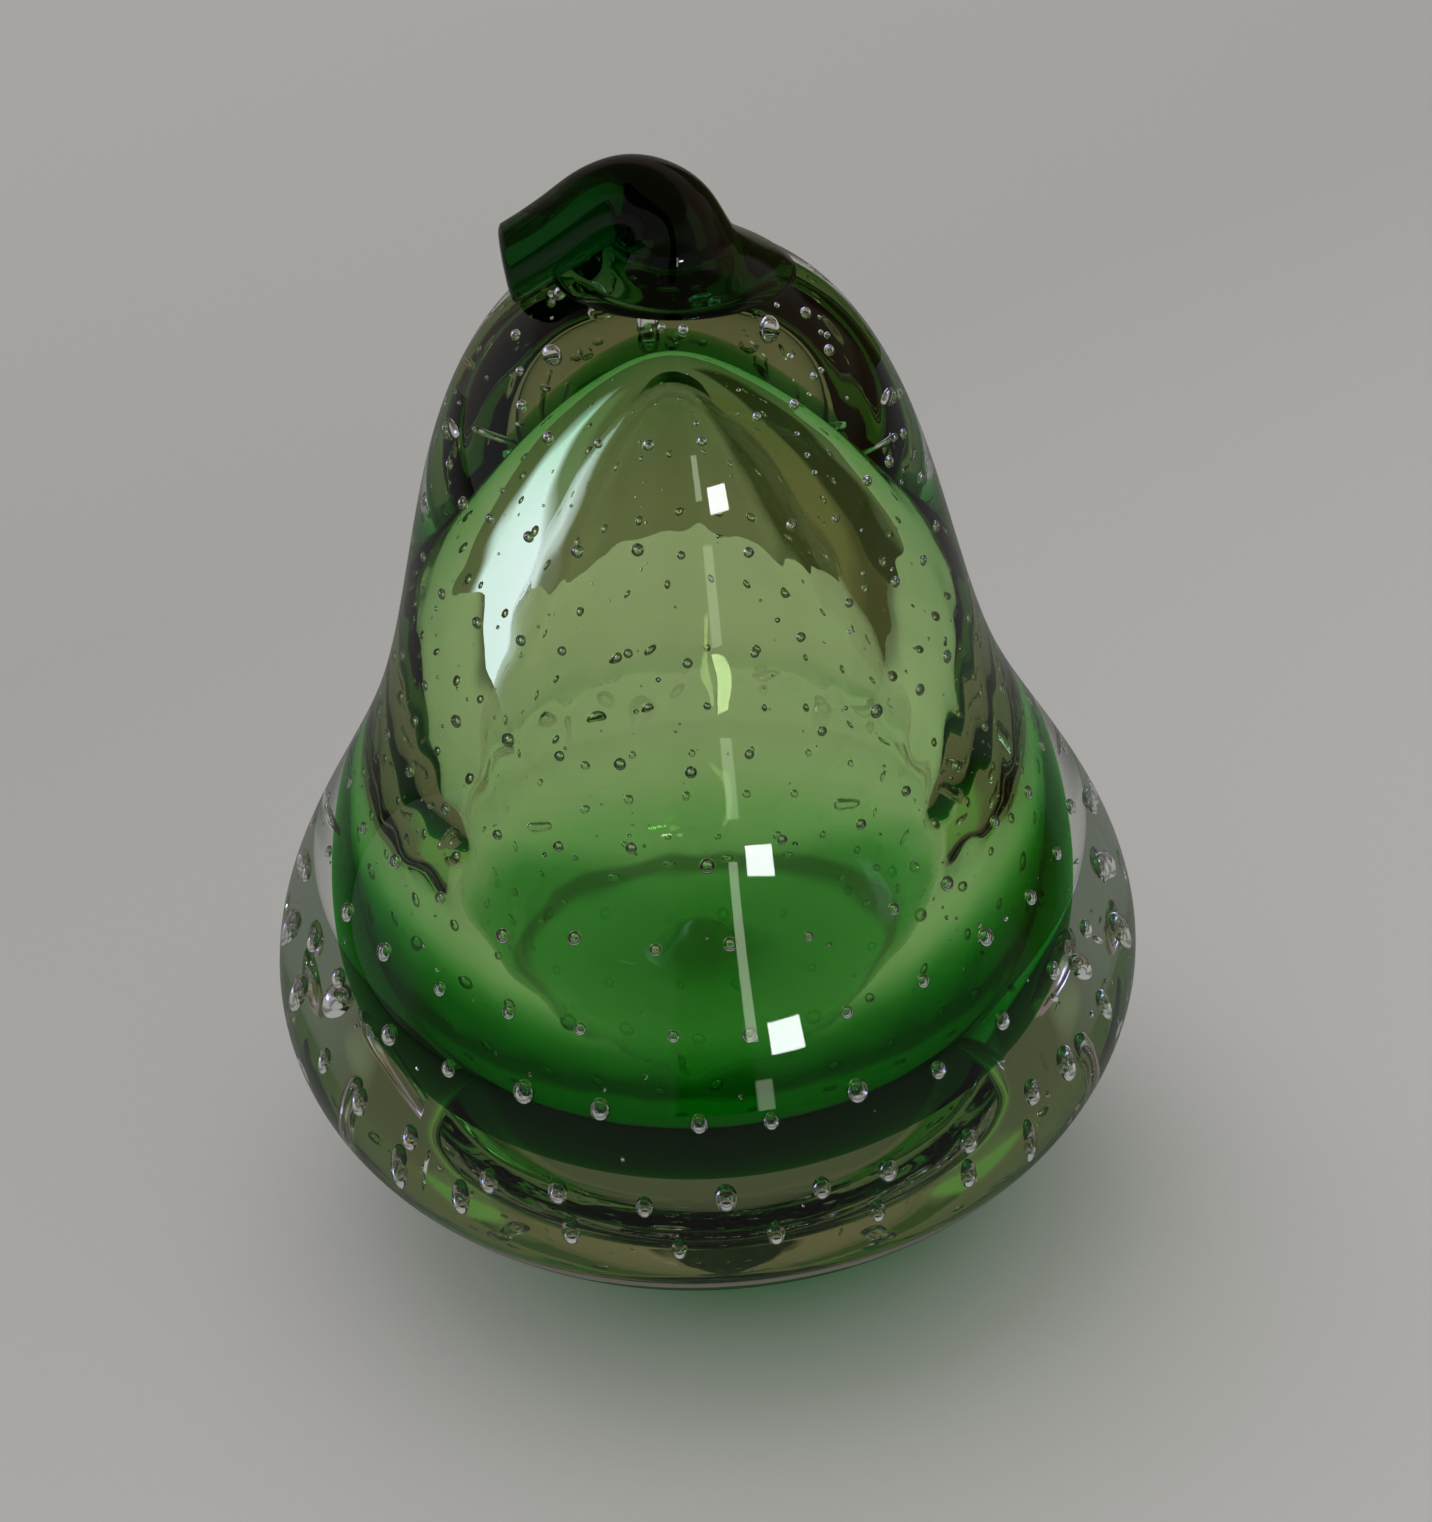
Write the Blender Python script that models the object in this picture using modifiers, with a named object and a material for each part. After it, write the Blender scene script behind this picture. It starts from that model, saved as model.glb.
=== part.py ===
"""A pear-shaped glass paperweight that stands on its flat polished base.

The frame has +Z up and its origin at the centre of the base. The stem arches over towards -X.
The glass is built up in layers, and each layer is a piece here: a blown green shell round a
pocket of air, a clear gather whose outside is pricked with rows of pits, a second clear gather
that closes the pits into bubbles and is shaped into the pear, and the green stem on top, whose
root fills the blow hole. All sizes are in metres.
"""

import math

import bmesh
import bpy
import numpy as np
from mathutils import Matrix, Vector

# Outside of the pear, as radii and the heights they are at
BASE_RADIUS = 0.0257
FLANK_RADIUS = 0.0402
FLANK_HEIGHT = 0.0113
BELLY_RADIUS = 0.0450
BELLY_HEIGHT = 0.0226
UPPER_BELLY_RADIUS = 0.0438
UPPER_BELLY_HEIGHT = 0.0340
SLOPE_RADIUS = 0.0384
SLOPE_HEIGHT = 0.0453
LOWER_WAIST_RADIUS = 0.0322
LOWER_WAIST_HEIGHT = 0.0566
WAIST_RADIUS = 0.0286
WAIST_HEIGHT = 0.0679
NECK_RADIUS = 0.0258
NECK_HEIGHT = 0.0793
SHOULDER_RADIUS = 0.0219
SHOULDER_HEIGHT = 0.0906
CROWN_RADIUS = 0.0128
CROWN_HEIGHT = 0.1019
PEAR_HEIGHT = 0.1052

# Pocket of air inside the green shell
POCKET_FLOOR_HEIGHT = 0.0176
POCKET_EDGE_RADIUS = 0.0180  # where the floor starts to turn up
POCKET_EDGE_HEIGHT = 0.0186
POCKET_HEEL_RADIUS = 0.0234
POCKET_HEEL_HEIGHT = 0.0218
POCKET_LOWER_BELLY_RADIUS = 0.0259
POCKET_LOWER_BELLY_HEIGHT = 0.0284
POCKET_BELLY_RADIUS = 0.0263
POCKET_BELLY_HEIGHT = 0.0375
POCKET_SLOPE_RADIUS = 0.0246
POCKET_SLOPE_HEIGHT = 0.0450
POCKET_WAIST_RADIUS = 0.0215
POCKET_WAIST_HEIGHT = 0.0550
POCKET_UPPER_WAIST_RADIUS = 0.0181
POCKET_UPPER_WAIST_HEIGHT = 0.0650
POCKET_NECK_RADIUS = 0.0140
POCKET_NECK_HEIGHT = 0.0750
POCKET_DOME_RADIUS = 0.0104
POCKET_DOME_HEIGHT = 0.0816
POCKET_UPPER_DOME_RADIUS = 0.0060
POCKET_UPPER_DOME_HEIGHT = 0.0868
POCKET_TOP_HEIGHT = 0.0898
KICK_HEIGHT = 0.0055  # the floor is pushed up in the middle
KICK_RADIUS = 0.0085

# Outside of the green shell, whose wall grows from the neck down to the heel and the bottom
GREEN_BOTTOM_HEIGHT = 0.0110
GREEN_INNER_BOTTOM_RADIUS = 0.0100
GREEN_INNER_BOTTOM_HEIGHT = 0.0122
GREEN_EDGE_RADIUS = 0.0170
GREEN_EDGE_HEIGHT = 0.0144
GREEN_HEEL_RADIUS = 0.0225
GREEN_HEEL_HEIGHT = 0.0170
GREEN_FLANK_RADIUS = 0.0263
GREEN_FLANK_HEIGHT = 0.0202
GREEN_LOWER_BELLY_RADIUS = 0.0278
GREEN_LOWER_BELLY_HEIGHT = 0.0245
GREEN_BELLY_RADIUS = 0.0280
GREEN_BELLY_HEIGHT = 0.0305
GREEN_UPPER_BELLY_RADIUS = 0.0277
GREEN_UPPER_BELLY_HEIGHT = 0.0375
GREEN_SLOPE_RADIUS = 0.0260
GREEN_SLOPE_HEIGHT = 0.0454
GREEN_WAIST_RADIUS = 0.0228
GREEN_WAIST_HEIGHT = 0.0554
GREEN_UPPER_WAIST_RADIUS = 0.0193
GREEN_UPPER_WAIST_HEIGHT = 0.0654
GREEN_NECK_RADIUS = 0.0152
GREEN_NECK_HEIGHT = 0.0755
GREEN_SHOULDER_RADIUS = 0.0117
GREEN_SHOULDER_HEIGHT = 0.0823
GREEN_CROWN_RADIUS = 0.0072
GREEN_CROWN_HEIGHT = 0.0883
GREEN_TOP_HEIGHT = 0.0915

# Layers round the green shell
GATHER_WALL = 0.0040
LAYER_GAP = 0.0003
BLOW_HOLE_RADIUS = 0.0040

# Pits that become the bubbles
PIT_ROWS = 8
PITS_PER_ROW = 16
PIT_RADIUS = 0.0012
LOWEST_PIT_SHARE = 0.17  # along the gather's outline, from the bottom to the top
HIGHEST_PIT_SHARE = 0.86

# Stem
FOOT_RADIUS = 0.0118
FOOT_EDGE = 0.0006
FOOT_FLARE = 0.0036  # how far the flare climbs before it meets the trunk
FLARE_POWER = 2.6
TRUNK_RADIUS = 0.0058
TRUNK_LEAN = 0.0014  # the trunk leans to +X before it turns over
ARCH_RISE = 0.0070  # how far the arch's guide points are over the pear's top
TIP_RADIUS = 0.0037
TIP_REACH = 0.0147
TIP_SWING = 0.0015
TIP_RISE = -0.0004  # the middle of the cut end, over the pear's top

# Fineness of the faceted solids
TURN_STEPS = 36
PEAR_STEPS = 4  # facets between two stations of a curve
LAYER_STEPS = 2
STEM_STEPS = 12
STEM_SIDES_RESOLUTION = 6
MERGE = 0.00001


def smooth_curve(stations, steps):
    """Points (radius, height) on a Catmull-Rom curve through the stations, the first and last
    of which only set the slope at the ends."""
    points = np.array(stations)
    t = (np.arange(steps) / steps)[:, None]
    runs = []
    for before, start, end, after in zip(points[:-3], points[1:-2], points[2:-1], points[3:]):
        runs.append(
            0.5
            * (
                2 * start
                + (end - before) * t
                + (2 * before - 5 * start + 4 * end - after) * t**2
                + (3 * start - before - 3 * end + after) * t**3
            )
        )
    runs.append(points[-2:-1])
    return np.vstack(runs)


def across_axis(station):
    """The same height on the other side of the axis, so that a curve crosses the axis level."""
    return (-station[0], station[1])


def pear_curve():
    """The outside of the pear, from the edge of the base up to the top of the crown."""
    base = (BASE_RADIUS, 0.0)
    flank = (FLANK_RADIUS, FLANK_HEIGHT)
    crown = (CROWN_RADIUS, CROWN_HEIGHT)
    below = (2 * base[0] - flank[0], 2 * base[1] - flank[1])
    stations = [
        below,
        base,
        flank,
        (BELLY_RADIUS, BELLY_HEIGHT),
        (UPPER_BELLY_RADIUS, UPPER_BELLY_HEIGHT),
        (SLOPE_RADIUS, SLOPE_HEIGHT),
        (LOWER_WAIST_RADIUS, LOWER_WAIST_HEIGHT),
        (WAIST_RADIUS, WAIST_HEIGHT),
        (NECK_RADIUS, NECK_HEIGHT),
        (SHOULDER_RADIUS, SHOULDER_HEIGHT),
        crown,
        (0.0, PEAR_HEIGHT),
        across_axis(crown),
    ]
    return smooth_curve(stations, PEAR_STEPS)


def pocket_curve():
    """The pocket of air with a plain floor, from the middle of the floor up to the top."""
    edge = (POCKET_EDGE_RADIUS, POCKET_EDGE_HEIGHT)
    upper_dome = (POCKET_UPPER_DOME_RADIUS, POCKET_UPPER_DOME_HEIGHT)
    stations = [
        across_axis(edge),
        (0.0, POCKET_FLOOR_HEIGHT),
        edge,
        (POCKET_HEEL_RADIUS, POCKET_HEEL_HEIGHT),
        (POCKET_LOWER_BELLY_RADIUS, POCKET_LOWER_BELLY_HEIGHT),
        (POCKET_BELLY_RADIUS, POCKET_BELLY_HEIGHT),
        (POCKET_SLOPE_RADIUS, POCKET_SLOPE_HEIGHT),
        (POCKET_WAIST_RADIUS, POCKET_WAIST_HEIGHT),
        (POCKET_UPPER_WAIST_RADIUS, POCKET_UPPER_WAIST_HEIGHT),
        (POCKET_NECK_RADIUS, POCKET_NECK_HEIGHT),
        (POCKET_DOME_RADIUS, POCKET_DOME_HEIGHT),
        upper_dome,
        (0.0, POCKET_TOP_HEIGHT),
        across_axis(upper_dome),
    ]
    return smooth_curve(stations, LAYER_STEPS)


def green_curve():
    """The outside of the green shell, from the middle of its bottom up to its top."""
    inner_bottom = (GREEN_INNER_BOTTOM_RADIUS, GREEN_INNER_BOTTOM_HEIGHT)
    crown = (GREEN_CROWN_RADIUS, GREEN_CROWN_HEIGHT)
    stations = [
        across_axis(inner_bottom),
        (0.0, GREEN_BOTTOM_HEIGHT),
        inner_bottom,
        (GREEN_EDGE_RADIUS, GREEN_EDGE_HEIGHT),
        (GREEN_HEEL_RADIUS, GREEN_HEEL_HEIGHT),
        (GREEN_FLANK_RADIUS, GREEN_FLANK_HEIGHT),
        (GREEN_LOWER_BELLY_RADIUS, GREEN_LOWER_BELLY_HEIGHT),
        (GREEN_BELLY_RADIUS, GREEN_BELLY_HEIGHT),
        (GREEN_UPPER_BELLY_RADIUS, GREEN_UPPER_BELLY_HEIGHT),
        (GREEN_SLOPE_RADIUS, GREEN_SLOPE_HEIGHT),
        (GREEN_WAIST_RADIUS, GREEN_WAIST_HEIGHT),
        (GREEN_UPPER_WAIST_RADIUS, GREEN_UPPER_WAIST_HEIGHT),
        (GREEN_NECK_RADIUS, GREEN_NECK_HEIGHT),
        (GREEN_SHOULDER_RADIUS, GREEN_SHOULDER_HEIGHT),
        crown,
        (0.0, GREEN_TOP_HEIGHT),
        across_axis(crown),
    ]
    return smooth_curve(stations, LAYER_STEPS)


def kicked_up(curve):
    """The curve with its floor pushed up in the middle, as half a wave of a cosine."""
    curve = curve.copy()
    radius, height = curve.T
    floor = (radius < KICK_RADIUS) & (height < POCKET_BELLY_HEIGHT)
    curve[floor, 1] += KICK_HEIGHT * 0.5 * (1 + np.cos(math.pi * radius[floor] / KICK_RADIUS))
    return curve


def grown(curve, distance):
    """The curve moved outwards, square to itself. Its ends stay on the axis."""
    slope = np.gradient(curve, axis=0)
    slope[[0, -1], 1] = 0.0
    outward = np.column_stack([slope[:, 1], -slope[:, 0]])
    outward /= np.linalg.norm(outward, axis=1)[:, None]
    moved = curve + distance * outward
    moved[[0, -1], 0] = 0.0
    return moved


def open_at_top(curve, radius):
    """The curve up to where it closes in to this radius at the top."""
    widest = int(np.argmax(curve[:, 0]))
    upper = curve[widest:]
    height = np.interp(-radius, -upper[:, 0], upper[:, 1])
    kept = upper[upper[:, 0] > radius]
    return np.vstack([curve[:widest], kept, [(radius, height)]])


def link(name, mesh, collection):
    """A new object with this mesh, in this collection."""
    made = bpy.data.objects.new(name, mesh)
    collection.objects.link(made)
    return made


def turned(name, profile, collection):
    """A solid of revolution from a profile that starts and ends on the axis or closes on itself
    there, running down its outer side."""
    mesh = bpy.data.meshes.new(name)
    corners = [(radius, 0.0, height) for radius, height in profile]
    mesh.from_pydata(corners, [(i, i + 1) for i in range(len(corners) - 1)], [])
    made = link(name, mesh, collection)
    screw = made.modifiers.new("Turn", "SCREW")
    screw.axis = "Z"
    screw.steps = TURN_STEPS
    screw.render_steps = TURN_STEPS
    screw.use_merge_vertices = True
    screw.merge_threshold = MERGE
    screw.use_smooth_shade = True
    return made


def layer(name, inside, outside, collection):
    """A turned layer of glass between two curves, open at the top where it was blown."""
    inner = open_at_top(inside, BLOW_HOLE_RADIUS)
    outer = open_at_top(outside, BLOW_HOLE_RADIUS)
    return turned(name, np.vstack([inner, outer[::-1]]), collection)


def boolean(target, other, operation, folds=False):
    """A Boolean of target with other, kept as a modifier. Folds are places where the target
    runs through itself, as a tube does inside a tight bend."""
    step = target.modifiers.new(operation.title(), "BOOLEAN")
    step.operation = operation
    step.object = other
    step.solver = "EXACT"
    step.use_self = folds


def as_guide(thing):
    """Marks an object that only shapes others."""
    thing.hide_render = True
    thing.display_type = "WIRE"
    return thing


def glass(name, colour, roughness, transmission):
    """A glass material with its colour, gloss and clearness."""
    made = bpy.data.materials.new(name)
    made.use_nodes = True
    shader = made.node_tree.nodes["Principled BSDF"]
    shader.inputs["Base Color"].default_value = (*colour, 1.0)
    shader.inputs["Roughness"].default_value = roughness
    shader.inputs["Metallic"].default_value = 0.0
    shader.inputs["Transmission Weight"].default_value = transmission
    shader.inputs["IOR"].default_value = 1.5
    made.diffuse_color = (*colour, 1.0)
    return made


def pits(curve, cutters):
    """Small balls in staggered rows on the gather's outside. Each sinks a pit half its size."""
    reach = np.concatenate([[0], np.cumsum(np.hypot(*np.diff(curve, axis=0).T))])
    shares = np.linspace(LOWEST_PIT_SHARE, HIGHEST_PIT_SHARE, PIT_ROWS)
    mesh = bpy.data.meshes.new("pits")
    balls = bmesh.new()
    for row, share in enumerate(shares):
        radius = np.interp(share * reach[-1], reach, curve[:, 0])
        height = np.interp(share * reach[-1], reach, curve[:, 1])
        for column in range(PITS_PER_ROW):
            angle = 2 * math.pi * (column + 0.5 * (row % 2)) / PITS_PER_ROW
            centre = Vector((radius * math.cos(angle), radius * math.sin(angle), height))
            bmesh.ops.create_icosphere(
                balls, subdivisions=1, radius=PIT_RADIUS, matrix=Matrix.Translation(centre)
            )
    balls.to_mesh(mesh)
    balls.free()
    return as_guide(link("pits", mesh, cutters))


def crown_curve(lift):
    """The pear's crown, from the shoulder up to the top, lifted by this much."""
    curve = pear_curve()
    return curve[curve[:, 1] >= SHOULDER_HEIGHT] + (0.0, lift)


def stem_foot(cutters):
    """The spread foot of the stem, which flares up to the trunk. It is sunk in the crown, which
    is cut away from it afterwards."""
    crown = crown_curve(0.0)
    trunk_side = 0.8 * TRUNK_RADIUS
    radii = np.append(0.0, np.linspace(trunk_side, FOOT_RADIUS, 7))
    surface = np.interp(-radii, -crown[:, 0], crown[:, 1])
    towards_trunk = (FOOT_RADIUS - radii) / (FOOT_RADIUS - trunk_side)
    flare = FOOT_FLARE * np.minimum(towards_trunk, 1.0) ** FLARE_POWER
    over = np.column_stack([radii, surface + LAYER_GAP + FOOT_EDGE + flare])
    under = np.column_stack([radii, surface - FOOT_EDGE])
    return as_guide(turned("stem_foot", np.vstack([over, under[::-1]]), cutters))


def crown_space(cutters):
    """The crown with the gap over it, to cut the underside of the stem's foot."""
    crown = crown_curve(LAYER_GAP)
    floor = np.array([(0.0, SHOULDER_HEIGHT - LAYER_GAP)])
    return as_guide(turned("crown_space", np.vstack([crown[::-1], floor]), cutters))


def stem_root(cutters):
    """The plug under the foot, which fills the blow hole down to the pocket of air."""
    top = PEAR_HEIGHT + LAYER_GAP + FOOT_EDGE
    bottom = POCKET_TOP_HEIGHT
    mesh = bpy.data.meshes.new("stem_root")
    plug = bmesh.new()
    bmesh.ops.create_cone(
        plug,
        cap_ends=True,
        segments=TURN_STEPS,
        radius1=BLOW_HOLE_RADIUS - LAYER_GAP,
        radius2=BLOW_HOLE_RADIUS - LAYER_GAP,
        depth=top - bottom,
        matrix=Matrix.Translation((0.0, 0.0, (top + bottom) / 2)),
    )
    plug.to_mesh(mesh)
    plug.free()
    return as_guide(link("stem_root", mesh, cutters))


def stem_arch(collection):
    """The trunk and arm: a tapering tube along a Bezier arch that leans a little to the right,
    rises, and comes over to the left and forward, with a flat cut end."""
    start = Vector((0.0, 0.0, PEAR_HEIGHT - TRUNK_RADIUS / 3))
    rise = Vector((TRUNK_LEAN, 0.0, PEAR_HEIGHT + ARCH_RISE))
    over = Vector((-TIP_REACH / 3, -TIP_SWING / 2, PEAR_HEIGHT + ARCH_RISE))
    tip = Vector((-TIP_REACH, -TIP_SWING, PEAR_HEIGHT + TIP_RISE))
    line = bpy.data.curves.new("stem", "CURVE")
    line.dimensions = "3D"
    line.bevel_depth = 1.0
    line.bevel_resolution = STEM_SIDES_RESOLUTION
    line.use_fill_caps = True
    spline = line.splines.new("POLY")
    spline.points.add(STEM_STEPS)
    for i, point in enumerate(spline.points):
        t = i / STEM_STEPS
        place = (
            (1 - t) ** 3 * start
            + 3 * (1 - t) ** 2 * t * rise
            + 3 * (1 - t) * t**2 * over
            + t**3 * tip
        )
        point.co = (*place, 1.0)
        point.radius = TIP_RADIUS + (TRUNK_RADIUS - TIP_RADIUS) * (1 - t) ** 1.5
    tube = link("stem_line", line, collection)
    bpy.context.view_layer.update()
    graph = bpy.context.evaluated_depsgraph_get()
    mesh = bpy.data.meshes.new_from_object(tube.evaluated_get(graph))
    welded = bmesh.new()
    welded.from_mesh(mesh)
    bmesh.ops.remove_doubles(welded, verts=welded.verts, dist=MERGE)
    bmesh.ops.recalc_face_normals(welded, faces=welded.faces)
    welded.to_mesh(mesh)
    welded.free()
    made = link("stem", mesh, collection)
    made.matrix_world = tube.matrix_world
    bpy.data.objects.remove(tube)
    mesh.shade_smooth()
    mesh.set_sharp_from_angle(angle=math.radians(40))
    return made


def main():
    """Models the four pieces of glass."""
    for thing in list(bpy.data.objects):
        bpy.data.objects.remove(thing)
    parts = bpy.data.collections.new("glass_pear_paperweight")
    cutters = bpy.data.collections.new("cutters")
    for collection in (parts, cutters):
        bpy.context.scene.collection.children.link(collection)

    clear = glass("clear_glass", (0.93, 0.96, 0.92), 0.02, 1.0)
    green = glass("green_glass", (0.05, 0.42, 0.04), 0.02, 0.9)
    dark_green = glass("dark_green_glass", (0.01, 0.08, 0.01), 0.03, 0.6)

    green_outside = green_curve()
    gather_inside = grown(green_outside, LAYER_GAP)
    gather_outside = grown(green_outside, LAYER_GAP + GATHER_WALL)
    casing_inside = grown(green_outside, 2 * LAYER_GAP + GATHER_WALL)
    pear = np.vstack([[(0.0, 0.0)], pear_curve()])

    shell = layer("green_shell", kicked_up(pocket_curve()), green_outside, parts)
    shell.data.materials.append(green)

    gather = layer("bubble_gather", gather_inside, gather_outside, parts)
    gather.data.materials.append(clear)
    boolean(gather, pits(gather_outside, cutters), "DIFFERENCE")

    casing = layer("outer_casing", casing_inside, pear, parts)
    casing.data.materials.append(clear)

    stem = stem_arch(parts)
    stem.data.materials.append(dark_green)
    boolean(stem, stem_foot(cutters), "UNION", folds=True)
    boolean(stem, crown_space(cutters), "DIFFERENCE")
    boolean(stem, stem_root(cutters), "UNION")


main()
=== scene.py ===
# %% [markdown]
# # A glass pear paperweight
# The real thing is hot glass in layers. A green bubble of glass is blown, dipped in clear glass,
# pricked with rows of small pits, and dipped again, so that each pit closes over a little air.
# The last clear layer is shaped into the pear, and a dark green stem is laid on top.
# Nearly everything that the eye sees in it is bent light, so this scene is built from the true
# surfaces where light turns: the outside, the pocket of air, the bubbles and the stem.
#
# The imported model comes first. It is the fixed frame that the pieces have to fit.

# %% Load the frame
import math

import bpy
import numpy as np
from mathutils import Matrix, Vector


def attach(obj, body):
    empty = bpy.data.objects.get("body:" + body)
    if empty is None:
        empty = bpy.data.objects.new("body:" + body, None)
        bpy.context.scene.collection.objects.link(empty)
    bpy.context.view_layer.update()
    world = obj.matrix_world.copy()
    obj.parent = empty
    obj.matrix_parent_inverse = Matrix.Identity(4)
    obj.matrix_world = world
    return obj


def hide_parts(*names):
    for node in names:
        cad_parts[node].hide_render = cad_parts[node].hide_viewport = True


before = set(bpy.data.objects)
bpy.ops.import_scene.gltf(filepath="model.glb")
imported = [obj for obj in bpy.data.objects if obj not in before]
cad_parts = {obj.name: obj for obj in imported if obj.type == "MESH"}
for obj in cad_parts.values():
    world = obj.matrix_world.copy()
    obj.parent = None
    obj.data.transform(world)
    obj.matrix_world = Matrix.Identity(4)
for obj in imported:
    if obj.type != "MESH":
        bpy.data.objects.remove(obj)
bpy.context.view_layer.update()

MM = 0.001

# %% [markdown]
# ## Curves
# A gaffer turns the glass on the end of an iron, so nearly every surface here is a surface of
# revolution, and each starts as one curve. It could be drawn as a Bezier curve by hand. Here it
# is a spline through measured points, because the points can be checked against the photograph.

# %% A smooth curve through stations


def smooth_curve(stations, steps=16):
    """Cubic spline: the curve through all stations whose bend changes evenly from one to the
    next. A bend that jumped would show in glass as a ring or a crease of light."""
    points = np.array(stations, float)
    span = np.linalg.norm(np.diff(points, axis=0), axis=1)[:, None]
    inner = np.arange(1, len(points) - 1)
    matrix, change = np.eye(len(points)), np.zeros_like(points)
    matrix[inner, inner - 1], matrix[inner, inner + 1] = span[:-1, 0], span[1:, 0]
    matrix[inner, inner] = 2 * (span[:-1, 0] + span[1:, 0])
    change[1:-1] = 6 * np.diff(np.diff(points, axis=0) / span, axis=0)
    bend = np.linalg.solve(matrix, change)
    t = np.arange(steps)[:, None] / steps
    start, end, low, high = (part[:, None] for part in (points[:-1], points[1:], bend[:-1],
                                                        bend[1:]))
    runs = (start * (1 - t) + end * t
            + span[:, None] ** 2 / 6 * (((1 - t) ** 3 - (1 - t)) * low + (t**3 - t) * high))
    return np.vstack([runs.reshape(-1, points.shape[1]), points[-1:]])


# %% A curve that crosses the axis level, and an even walk along it


def over_axis(stations, from_axis=True, steps=16):
    """A spline that is led on past the axis by the mirror image of its own stations, so that it
    crosses the axis level. Only this side of it is kept."""
    points = np.array(stations, float)
    image = points[::-1] * (-1, 1)
    led = [image[:-1], points, image[1:]] if from_axis else [points, image[1:]]
    curve = smooth_curve(np.vstack(led), steps)
    start = (len(points) - 1) * steps if from_axis else 0
    return curve[start:start + (len(points) - 1) * steps + 1]


def evenly(curve, count):
    """The same curve with this many points, an equal way apart along it."""
    way = np.append(0.0, np.cumsum(np.linalg.norm(np.diff(curve, axis=0), axis=1)))
    places = np.linspace(0.0, way[-1], count)
    return np.column_stack([np.interp(places, way, column) for column in curve.T])


# %% [markdown]
# ## Closed skins
# Light has to know whether it is inside glass or in air, so each surface is a closed skin. The
# Screw modifier could turn a curve into one. Here the points are worked out as a grid, because
# small waves can then be added to it, as the hand leaves them, and because a skin can be turned
# over to become the wall of a hollow.

# %% A grid of points as a closed skin


def skin(grid):
    """Corners and faces of a closed skin from a grid of points: row by row from one pole to the
    other, each row once round. The first and last rows are single points at the poles."""
    rows, turns = grid.shape[:2]
    around = np.arange(turns)
    ahead = (around + 1) % turns
    start = np.arange(rows - 3)[:, None] * turns
    sides = np.stack([start + around, start + ahead, start + turns + ahead,
                      start + turns + around], -1).reshape(-1, 4)
    low, last = (rows - 2) * turns, (rows - 3) * turns
    below = np.stack([np.full(turns, low), ahead, around], -1)
    above = np.stack([np.full(turns, low + 1), last + around, last + ahead], -1)
    corners = np.vstack([grid[1:-1].reshape(-1, 3), grid[0, :1], grid[-1, :1]])
    return corners, [sides, np.vstack([below, above])]


def turned_over(surface):
    """The same skin with its faces the other way round: the wall of a hollow."""
    corners, faces = surface
    return corners, [group[:, ::-1] for group in faces]


# %% Skins as one object


def put_in_mesh(name, surfaces, material):
    """One object from several skins, given in millimetres."""
    corners, faces, used = [], [], 0
    for points, groups in surfaces:
        for group in groups:
            faces += (group + used).tolist()
        corners.append(points)
        used += len(points)
    mesh = bpy.data.meshes.new(name)
    mesh.from_pydata((np.vstack(corners) * MM).tolist(), [], faces)
    mesh.shade_smooth()
    mesh.materials.append(material)
    made = bpy.data.objects.new(name, mesh)
    bpy.context.scene.collection.objects.link(made)
    print(f"{name}: {len(mesh.vertices)} corners, {len(mesh.polygons)} faces")
    return made


# %% A surface of revolution
TURNS = 216
ANGLE = np.arange(TURNS) * 2 * np.pi / TURNS


def turned(curve):
    """Surface of revolution: the point (radius, height) goes to (radius cos a, radius sin a,
    height) for every angle a."""
    radius, height = curve[:, 0, None], curve[:, 1, None]
    return np.stack([radius * np.cos(ANGLE), radius * np.sin(ANGLE),
                     np.broadcast_to(height, (len(curve), TURNS))], -1)


# %% [markdown]
# ## The three outlines
# The pear's own outline and the outline of the pocket of air were read off the photograph. The
# pocket was found by following light: its edge, seen through the pear, is about 1.6 times as
# wide as it really is. The green glass lies between them. It is blown thin where the pocket is
# wide, and left thick under the pocket's floor, where the hot glass pooled.

# %% Outlines, as radius and height in millimetres
PEAR = [(25.7, 0), (40.2, 11.3), (45, 22.6), (43.8, 34), (38.4, 45.3), (32.2, 56.6),
        (28.6, 67.9), (25.8, 79.3), (21.9, 90.6), (12.8, 101.9), (0, 105.2)]
POCKET = [(0, 17.6), (18, 18.6), (23.4, 21.8), (25.9, 28.4), (26.3, 37.5), (24.6, 45),
          (21.5, 55), (18.1, 65), (14.0, 75), (10.4, 81.6), (6.0, 86.8), (0, 89.8)]
GREEN = [(0, 11.0), (10, 12.2), (17, 14.4), (22.5, 17.0), (26.3, 20.2), (27.7, 24.5),
         (27.8, 30.5), (27.5, 37.5), (25.7, 45.4), (22.4, 55.4), (18.8, 65.4), (14.6, 75.4),
         (11.0, 82.2), (6.6, 87.9), (0, 91.0)]
PEAR_ROWS, LAYER_ROWS = 150, 110

pear_line = over_axis(PEAR, from_axis=False)
pear = np.vstack([[(0.0, 0.0)], evenly(pear_line, PEAR_ROWS)])
pocket = evenly(over_axis(POCKET), LAYER_ROWS)
green = evenly(over_axis(GREEN), LAYER_ROWS)
print("pear", pear[:, 0].max(), "pocket", pocket[:, 0].max(), "green", green[:, 0].max())

# %% The pocket's floor, pushed up in the middle
KICK_HEIGHT, KICK_RADIUS = 5.5, 8.5
FLOOR_UNDER = 40  # the kick is for points under this height, so not for the dome


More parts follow.
